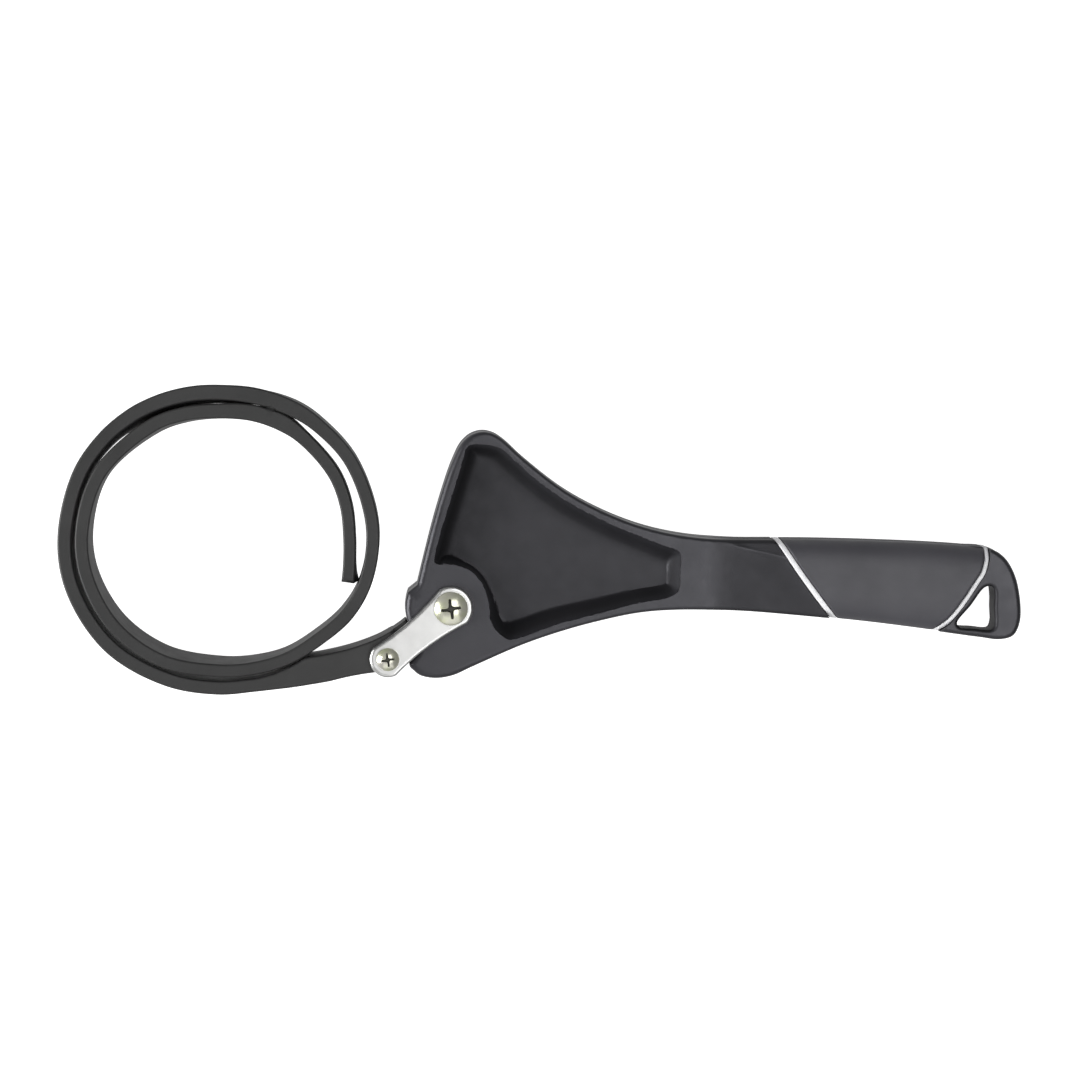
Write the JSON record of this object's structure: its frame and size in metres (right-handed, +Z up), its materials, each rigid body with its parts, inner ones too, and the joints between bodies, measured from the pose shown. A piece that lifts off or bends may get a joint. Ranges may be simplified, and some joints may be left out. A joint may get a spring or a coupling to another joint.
{
  "type": "oil filter strap wrench",
  "caption": "Strap-type oil filter wrench with a moulded lever handle, twin metal links and a coiled rubber strap that wraps round the filter.",
  "frame": {"origin": "centre of the tool's outer box in plan, on the plane that its lowest point touches when it lies on its side", "axes": "+X along the handle towards the butt, +Y across the handle towards the raised corner of the head, +Z up through the tool's thickness and along every pivot"},
  "size_m": [0.3618, 0.116, 0.0323],
  "materials": {
    "nylon": "fine matt moulded nylon",
    "soft_grip": "soft-touch moulded cover",
    "trim": "smooth white plastic",
    "chrome": "bright plated steel",
    "zinc": "bright zinc plate with a faint yellow cast",
    "rubber": "plain matt rubber"
  },
  "bodies": {
    "handle": {"handle_core": "nylon", "grip_cover": "soft_grip", "front_trim_band": "trim", "rear_trim_band": "trim"},
    "link": {"front_link_plate": "chrome", "rear_link_plate": "chrome", "pivot_screw": "zinc", "pivot_barrel_nut": "zinc", "anchor_screw": "zinc", "anchor_barrel_nut": "zinc"},
    "strap": {"strap": "rubber"}
  },
  "joints": [
    {"name": "link_swing", "type": "hinge", "parent": "handle", "child": "link", "pos_m": [-0.03407, -0.02535, 0.0153], "axis": [0, 0, 1], "range_deg": [-30, 4]},
    {"name": "strap_swing", "type": "hinge", "parent": "link", "child": "strap", "pos_m": [-0.05767, -0.04445, 0.0153], "axis": [0, 0, 1], "range_deg": [0, 80]}
  ]
}
